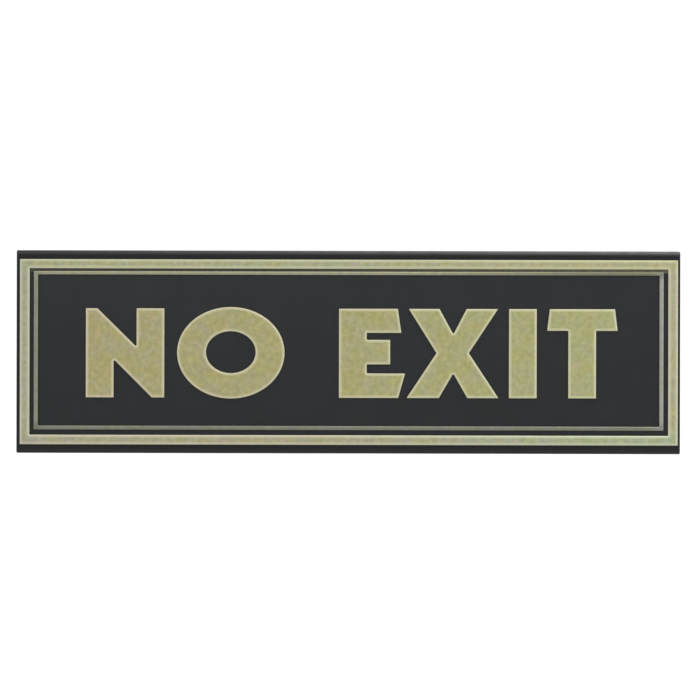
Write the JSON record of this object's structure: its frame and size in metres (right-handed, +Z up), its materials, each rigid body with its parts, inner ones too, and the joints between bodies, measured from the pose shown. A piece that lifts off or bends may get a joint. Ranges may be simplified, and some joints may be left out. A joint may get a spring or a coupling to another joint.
{
  "type": "no exit sign",
  "caption": "Flat rectangular self-stick wall sign: black moulded plaque with a raised gold double border and raised gold block letters, on a foam adhesive backing.",
  "frame": {"origin": "middle of the wall plane, which is the back face of the foam adhesive", "axes": "+X to the right along the width as the sign is read, +Z up, +Y out of the back into the wall, so the lettered face looks along -Y"},
  "size_m": [0.2292, 0.0034, 0.0702],
  "materials": {
    "black_plastic": "satin",
    "gold_foil": "satin",
    "foam": "matte"
  },
  "bodies": {
    "root": {"plaque": "black_plastic", "outer_border": "gold_foil", "inner_border": "gold_foil", "letter_n": "gold_foil", "letter_o": "gold_foil", "letter_e": "gold_foil", "letter_x": "gold_foil", "letter_i": "gold_foil", "letter_t": "gold_foil", "adhesive_foam": "foam"}
  },
  "joints": []
}
